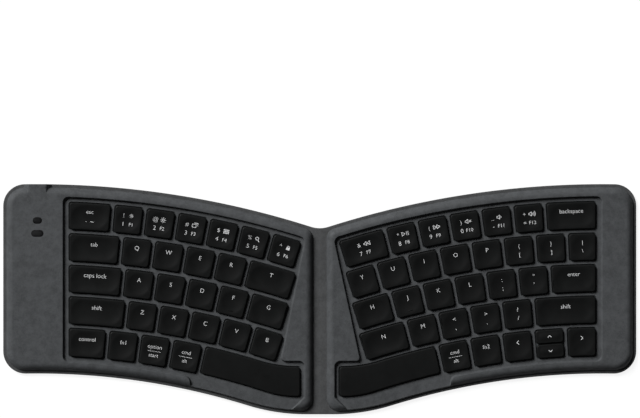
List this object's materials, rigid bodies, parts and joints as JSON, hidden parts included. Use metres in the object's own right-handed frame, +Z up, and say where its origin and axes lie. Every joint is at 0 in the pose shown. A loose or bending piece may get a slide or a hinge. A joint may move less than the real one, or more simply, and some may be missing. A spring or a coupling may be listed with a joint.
{
  "type": "foldable keyboard",
  "caption": "Folding keyboard with curved, sunk key fields in flat housings on a soft cover, joined by a flexible spine that folds it shut; low scissor keys, charging socket, rubber feet.",
  "frame": {"origin": "on the desk under the middle of the open keyboard, on the spine's middle line", "axes": "+X to the user's right along the open keyboard, +Y to the back edge, +Z up out of the keys"},
  "size_m": [0.379, 0.1378, 0.0057],
  "materials": {
    "housing": "fine soft-touch grain, dark grey",
    "cover": "fine soft-touch grain, dark grey",
    "keycap": "smooth matt black with printed legends",
    "inner_plastic": "plain moulded",
    "link": "plain moulded, pale",
    "plate_steel": "bare sheet",
    "silicone": "translucent milky sheet and domes",
    "foot_rubber": "matt",
    "shell_steel": "plated",
    "board": "solder mask",
    "cell_foil": "satin foil",
    "magnet": "nickel plated",
    "flex": "amber film",
    "window": "smoked, glossy"
  },
  "bodies": {
    "left_half": {"deck_left": "housing", "tray_left": "inner_plastic", "base_cover_left": "cover", "key_plate_left": "plate_steel", "membrane_left": "silicone", "scissor_links_left": "link", "closing_magnets_left": "magnet", "feet_left": "foot_rubber", "usb_c_socket": "shell_steel", "controller_board": "board", "battery": "cell_foil", "indicator_windows": "window"},
    "spine": {"spine_band": "cover", "flex_cable": "flex"},
    "right_half": {"deck_right": "housing", "tray_right": "inner_plastic", "base_cover_right": "cover", "key_plate_right": "plate_steel", "membrane_right": "silicone", "scissor_links_right": "link", "closing_magnets_right": "magnet", "feet_right": "foot_rubber"},
    "bottom_keys_left": {"bottom_keys_left": "keycap"},
    "bottom_keys_right": {"bottom_keys_right": "keycap"},
    "edge_keys_left": {"edge_keys_left": "keycap"},
    "key_a": {"key_a": "keycap"},
    "key_b": {"key_b": "keycap"},
    "key_backspace": {"key_backspace": "keycap"},
    "key_c": {"key_c": "keycap"},
    "key_d": {"key_d": "keycap"},
    "key_e": {"key_e": "keycap"},
    "key_enter": {"key_enter": "keycap"},
    "key_f": {"key_f": "keycap"},
    "key_g": {"key_g": "keycap"},
    "key_h": {"key_h": "keycap"},
    "key_i": {"key_i": "keycap"},
    "key_j": {"key_j": "keycap"},
    "key_k": {"key_k": "keycap"},
    "key_l": {"key_l": "keycap"},
    "key_m": {"key_m": "keycap"},
    "key_n": {"key_n": "keycap"},
    "key_o": {"key_o": "keycap"},
    "key_p": {"key_p": "keycap"},
    "key_q": {"key_q": "keycap"},
    "key_r": {"key_r": "keycap"},
    "key_s": {"key_s": "keycap"},
    "key_shift_left": {"key_shift_left": "keycap"},
    "key_shift_right": {"key_shift_right": "keycap"},
    "key_space_left": {"key_space_left": "keycap"},
    "key_space_right": {"key_space_right": "keycap"},
    "key_t": {"key_t": "keycap"},
    "key_u": {"key_u": "keycap"},
    "key_v": {"key_v": "keycap"},
    "key_w": {"key_w": "keycap"},
    "key_x": {"key_x": "keycap"},
    "key_y": {"key_y": "keycap"},
    "key_z": {"key_z": "keycap"},
    "number_keys_left": {"number_keys_left": "keycap"},
    "number_keys_right": {"number_keys_right": "keycap"},
    "symbol_keys_right": {"symbol_keys_right": "keycap"}
  },
  "joints": [
    {"name": "left_crease", "type": "hinge", "parent": "spine", "child": "left_half", "pos_m": [-0.00395, 0, 0.0019], "axis": [0, 1, 0], "range_deg": [0, 90], "deforming": ["flex_cable"]},
    {"name": "right_crease", "type": "hinge", "parent": "spine", "child": "right_half", "pos_m": [0.00395, 0, 0.0019], "axis": [0, -1, 0], "range_deg": [0, 90]},
    {"name": "bottom_keys_left_press", "type": "slide", "parent": "left_half", "child": "bottom_keys_left", "axis": [0, 0, -1], "range_m": [0, 0.0011], "stiffness_N_per_m": 250, "springref_m": -0.0011},
    {"name": "bottom_keys_right_press", "type": "slide", "parent": "right_half", "child": "bottom_keys_right", "axis": [0, 0, -1], "range_m": [0, 0.0011], "stiffness_N_per_m": 250, "springref_m": -0.0011},
    {"name": "edge_keys_left_press", "type": "slide", "parent": "left_half", "child": "edge_keys_left", "axis": [0, 0, -1], "range_m": [0, 0.0011], "stiffness_N_per_m": 250, "springref_m": -0.0011},
    {"name": "key_a_press", "type": "slide", "parent": "left_half", "child": "key_a", "axis": [0, 0, -1], "range_m": [0, 0.0011], "stiffness_N_per_m": 250, "springref_m": -0.0011},
    {"name": "key_b_press", "type": "slide", "parent": "left_half", "child": "key_b", "axis": [0, 0, -1], "range_m": [0, 0.0011], "stiffness_N_per_m": 250, "springref_m": -0.0011},
    {"name": "key_backspace_press", "type": "slide", "parent": "right_half", "child": "key_backspace", "axis": [0, 0, -1], "range_m": [0, 0.0011], "stiffness_N_per_m": 250, "springref_m": -0.0011},
    {"name": "key_c_press", "type": "slide", "parent": "left_half", "child": "key_c", "axis": [0, 0, -1], "range_m": [0, 0.0011], "stiffness_N_per_m": 250, "springref_m": -0.0011},
    {"name": "key_d_press", "type": "slide", "parent": "left_half", "child": "key_d", "axis": [0, 0, -1], "range_m": [0, 0.0011], "stiffness_N_per_m": 250, "springref_m": -0.0011},
    {"name": "key_e_press", "type": "slide", "parent": "left_half", "child": "key_e", "axis": [0, 0, -1], "range_m": [0, 0.0011], "stiffness_N_per_m": 250, "springref_m": -0.0011},
    {"name": "key_enter_press", "type": "slide", "parent": "right_half", "child": "key_enter", "axis": [0, 0, -1], "range_m": [0, 0.0011], "stiffness_N_per_m": 250, "springref_m": -0.0011},
    {"name": "key_f_press", "type": "slide", "parent": "left_half", "child": "key_f", "axis": [0, 0, -1], "range_m": [0, 0.0011], "stiffness_N_per_m": 250, "springref_m": -0.0011, "deforming": ["membrane_left", "scissor_links_left"]},
    {"name": "key_g_press", "type": "slide", "parent": "left_half", "child": "key_g", "axis": [0, 0, -1], "range_m": [0, 0.0011], "stiffness_N_per_m": 250, "springref_m": -0.0011},
    {"name": "key_h_press", "type": "slide", "parent": "right_half", "child": "key_h", "axis": [0, 0, -1], "range_m": [0, 0.0011], "stiffness_N_per_m": 250, "springref_m": -0.0011},
    {"name": "key_i_press", "type": "slide", "parent": "right_half", "child": "key_i", "axis": [0, 0, -1], "range_m": [0, 0.0011], "stiffness_N_per_m": 250, "springref_m": -0.0011},
    {"name": "key_j_press", "type": "slide", "parent": "right_half", "child": "key_j", "axis": [0, 0, -1], "range_m": [0, 0.0011], "stiffness_N_per_m": 250, "springref_m": -0.0011, "deforming": ["membrane_right", "scissor_links_right"]},
    {"name": "key_k_press", "type": "slide", "parent": "right_half", "child": "key_k", "axis": [0, 0, -1], "range_m": [0, 0.0011], "stiffness_N_per_m": 250, "springref_m": -0.0011},
    {"name": "key_l_press", "type": "slide", "parent": "right_half", "child": "key_l", "axis": [0, 0, -1], "range_m": [0, 0.0011], "stiffness_N_per_m": 250, "springref_m": -0.0011},
    {"name": "key_m_press", "type": "slide", "parent": "right_half", "child": "key_m", "axis": [0, 0, -1], "range_m": [0, 0.0011], "stiffness_N_per_m": 250, "springref_m": -0.0011},
    {"name": "key_n_press", "type": "slide", "parent": "right_half", "child": "key_n", "axis": [0, 0, -1], "range_m": [0, 0.0011], "stiffness_N_per_m": 250, "springref_m": -0.0011},
    {"name": "key_o_press", "type": "slide", "parent": "right_half", "child": "key_o", "axis": [0, 0, -1], "range_m": [0, 0.0011], "stiffness_N_per_m": 250, "springref_m": -0.0011},
    {"name": "key_p_press", "type": "slide", "parent": "right_half", "child": "key_p", "axis": [0, 0, -1], "range_m": [0, 0.0011], "stiffness_N_per_m": 250, "springref_m": -0.0011},
    {"name": "key_q_press", "type": "slide", "parent": "left_half", "child": "key_q", "axis": [0, 0, -1], "range_m": [0, 0.0011], "stiffness_N_per_m": 250, "springref_m": -0.0011},
    {"name": "key_r_press", "type": "slide", "parent": "left_half", "child": "key_r", "axis": [0, 0, -1], "range_m": [0, 0.0011], "stiffness_N_per_m": 250, "springref_m": -0.0011},
    {"name": "key_s_press", "type": "slide", "parent": "left_half", "child": "key_s", "axis": [0, 0, -1], "range_m": [0, 0.0011], "stiffness_N_per_m": 250, "springref_m": -0.0011},
    {"name": "key_shift_left_press", "type": "slide", "parent": "left_half", "child": "key_shift_left", "axis": [0, 0, -1], "range_m": [0, 0.0011], "stiffness_N_per_m": 250, "springref_m": -0.0011},
    {"name": "key_shift_right_press", "type": "slide", "parent": "right_half", "child": "key_shift_right", "axis": [0, 0, -1], "range_m": [0, 0.0011], "stiffness_N_per_m": 250, "springref_m": -0.0011},
    {"name": "key_space_left_press", "type": "slide", "parent": "left_half", "child": "key_space_left", "axis": [0, 0, -1], "range_m": [0, 0.0011], "stiffness_N_per_m": 250, "springref_m": -0.0011},
    {"name": "key_space_right_press", "type": "slide", "parent": "right_half", "child": "key_space_right", "axis": [0, 0, -1], "range_m": [0, 0.0011], "stiffness_N_per_m": 250, "springref_m": -0.0011},
    {"name": "key_t_press", "type": "slide", "parent": "left_half", "child": "key_t", "axis": [0, 0, -1], "range_m": [0, 0.0011], "stiffness_N_per_m": 250, "springref_m": -0.0011},
    {"name": "key_u_press", "type": "slide", "parent": "right_half", "child": "key_u", "axis": [0, 0, -1], "range_m": [0, 0.0011], "stiffness_N_per_m": 250, "springref_m": -0.0011},
    {"name": "key_v_press", "type": "slide", "parent": "left_half", "child": "key_v", "axis": [0, 0, -1], "range_m": [0, 0.0011], "stiffness_N_per_m": 250, "springref_m": -0.0011},
    {"name": "key_w_press", "type": "slide", "parent": "left_half", "child": "key_w", "axis": [0, 0, -1], "range_m": [0, 0.0011], "stiffness_N_per_m": 250, "springref_m": -0.0011},
    {"name": "key_x_press", "type": "slide", "parent": "left_half", "child": "key_x", "axis": [0, 0, -1], "range_m": [0, 0.0011], "stiffness_N_per_m": 250, "springref_m": -0.0011},
    {"name": "key_y_press", "type": "slide", "parent": "right_half", "child": "key_y", "axis": [0, 0, -1], "range_m": [0, 0.0011], "stiffness_N_per_m": 250, "springref_m": -0.0011},
    {"name": "key_z_press", "type": "slide", "parent": "left_half", "child": "key_z", "axis": [0, 0, -1], "range_m": [0, 0.0011], "stiffness_N_per_m": 250, "springref_m": -0.0011},
    {"name": "number_keys_left_press", "type": "slide", "parent": "left_half", "child": "number_keys_left", "axis": [0, 0, -1], "range_m": [0, 0.0011], "stiffness_N_per_m": 250, "springref_m": -0.0011},
    {"name": "number_keys_right_press", "type": "slide", "parent": "right_half", "child": "number_keys_right", "axis": [0, 0, -1], "range_m": [0, 0.0011], "stiffness_N_per_m": 250, "springref_m": -0.0011},
    {"name": "symbol_keys_right_press", "type": "slide", "parent": "right_half", "child": "symbol_keys_right", "axis": [0, 0, -1], "range_m": [0, 0.0011], "stiffness_N_per_m": 250, "springref_m": -0.0011}
  ],
  "couplings": [
    {"joint": "right_crease", "follows": "left_crease", "ratio": 1}
  ]
}
